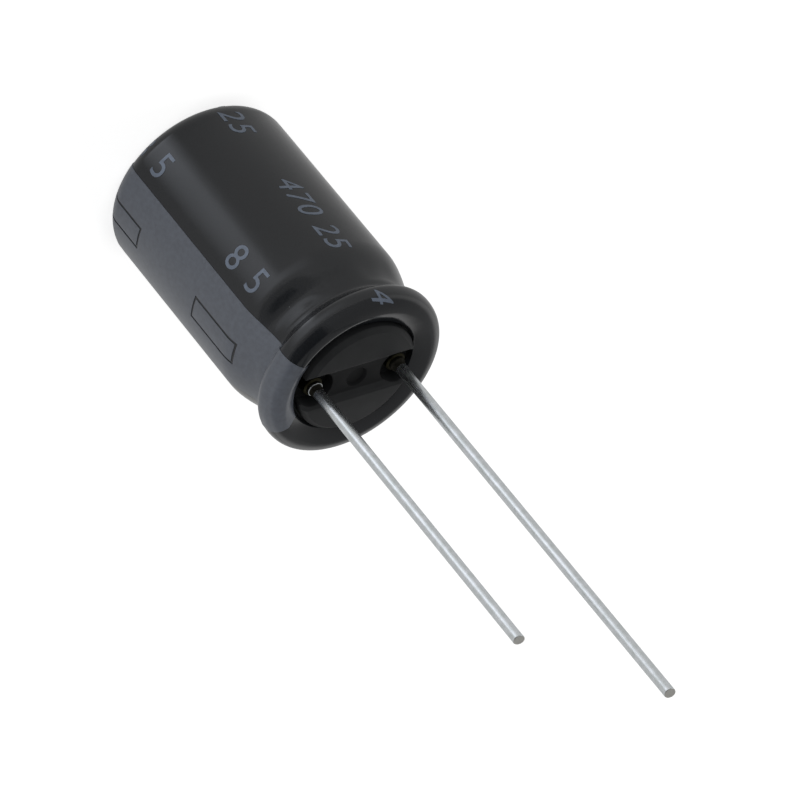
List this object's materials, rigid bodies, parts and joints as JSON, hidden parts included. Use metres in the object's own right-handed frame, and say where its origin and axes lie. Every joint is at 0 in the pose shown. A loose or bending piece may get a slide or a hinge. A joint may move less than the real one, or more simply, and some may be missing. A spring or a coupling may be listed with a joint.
{
  "type": "radial electrolytic capacitor",
  "caption": "Round aluminium electrolytic capacitor in a shrunk sleeve, with a rolled rim, a rubber seal and unequal wire leads that solder into a circuit board.",
  "frame": {"origin": "centre of the closed end, on the surface that the part stands on", "axes": "+Z out along the leads, +X from the negative lead towards the positive lead"},
  "size_m": [0.0104, 0.0104, 0.0404],
  "materials": {
    "sleeve_plastic": "shrunk polyester, glossy black",
    "stripe_ink": "printed grey ink",
    "can_aluminium": "drawn, satin",
    "seal_rubber": "moulded, matt",
    "wound_foil_and_paper": "rolled foil and wet paper",
    "closing_tape": "smooth film",
    "tab_aluminium": "pressed, satin",
    "tinned_wire": "bright tin plate"
  },
  "bodies": {
    "root": {"sleeve": "sleeve_plastic", "polarity_stripe": "stripe_ink", "can": "can_aluminium", "end_seal": "seal_rubber", "winding": "wound_foil_and_paper", "closing_tape": "closing_tape", "anode_tab": "tab_aluminium", "cathode_tab": "tab_aluminium", "anode_lead": "tinned_wire", "cathode_lead": "tinned_wire"}
  },
  "joints": []
}
